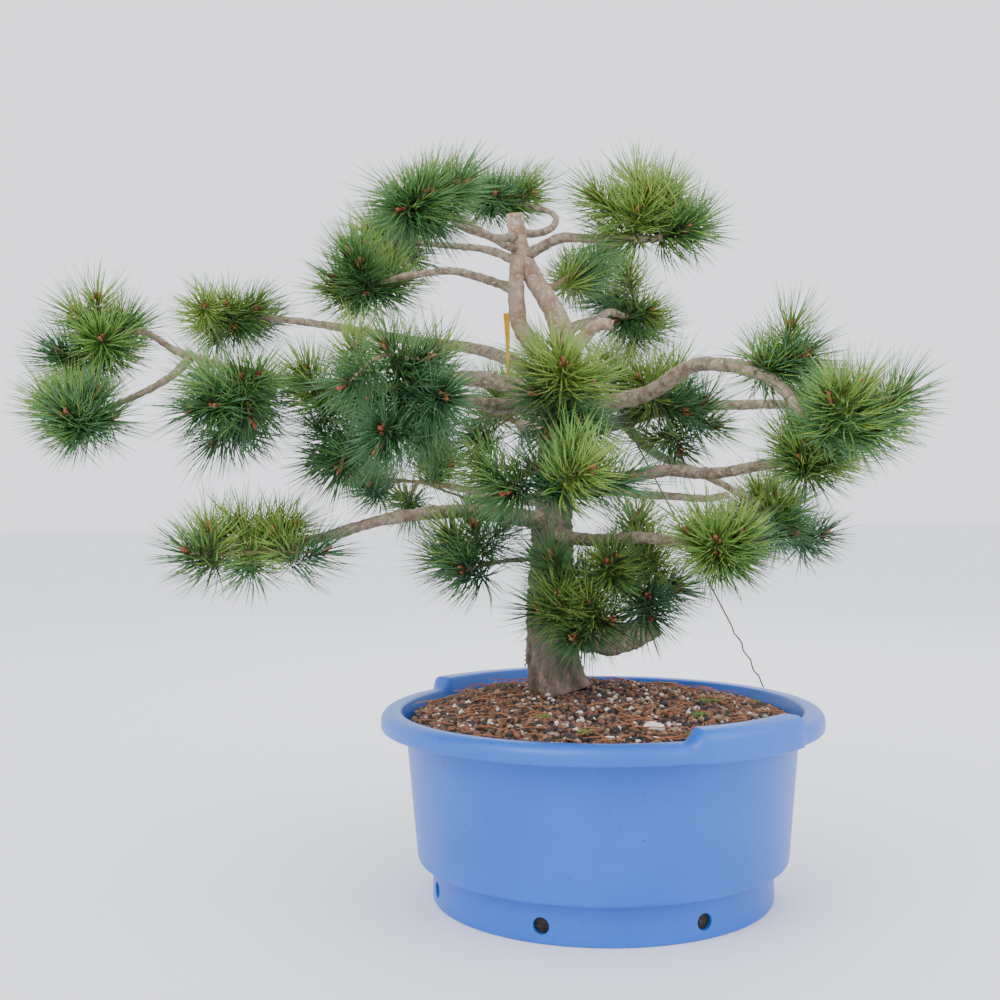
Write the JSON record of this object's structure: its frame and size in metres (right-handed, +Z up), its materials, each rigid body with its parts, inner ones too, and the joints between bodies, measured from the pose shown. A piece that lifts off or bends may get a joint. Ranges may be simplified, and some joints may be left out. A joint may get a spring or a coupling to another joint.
{
  "type": "potted scots pine bonsai",
  "caption": "Young Scots pine trained as a bonsai, spreading boughs with tufts of needles, in a round blue plastic tub with two handles.",
  "frame": {"origin": "centre of the tub's flat underside", "axes": "+Z up, +Y away from the viewer of the picture, +X to the right"},
  "size_m": [0.9253, 0.6896, 0.8028],
  "materials": {
    "tub": "satin blue plastic, weathered",
    "soil": "granular bonsai soil",
    "bark": "flaky grey-brown pine bark",
    "young_bark": "thin tan pine bark",
    "wire": "dark thin wire",
    "needles": "green pine needles"
  },
  "bodies": {
    "root": {"tub": "tub", "soil": "soil", "trunk": "bark", "right_leader": "young_bark", "left_leader": "young_bark", "low_right_stub": "bark", "leader_stub": "young_bark", "right_cut_branch": "bark", "bare_cut_twig": "bark", "right_arching_bough": "bark", "right_arching_tip": "bark", "right_back_bough": "bark", "right_drooping_bough": "bark", "right_middle_bough": "bark", "right_low_bough": "bark", "left_low_bough": "bark", "left_front_bough": "bark", "left_long_bough": "bark", "far_left_upper_bough": "bark", "far_left_lower_bough": "bark", "left_back_bough": "bark", "upper_left_bough": "bark", "upper_left_back_bough": "bark", "top_left_bough": "bark", "top_back_bough": "bark", "top_right_bough": "bark", "front_bough": "bark", "back_bough": "bark", "back_right_bough": "bark", "back_left_bough": "bark", "right_guy_wire": "wire", "left_guy_wire": "wire", "far_left_upper_needles": "needles", "far_left_lower_needles": "needles", "left_long_outer_needles": "needles", "left_long_inner_needles": "needles", "left_front_needles": "needles", "left_back_needles": "needles", "left_low_needles": "needles", "low_left_needles": "needles", "front_needles": "needles", "fork_front_needles": "needles", "low_front_needles": "needles", "low_right_needles": "needles", "right_low_needles": "needles", "right_drooping_needles": "needles", "right_middle_needles": "needles", "right_arching_needles": "needles", "right_crest_needles": "needles", "right_back_needles": "needles", "right_inner_needles": "needles", "back_right_needles": "needles", "leader_right_needles": "needles", "top_left_needles": "needles", "top_back_needles": "needles", "top_right_needles": "needles", "upper_left_needles": "needles", "upper_left_back_needles": "needles", "back_needles": "needles", "back_left_needles": "needles"}
  },
  "joints": []
}
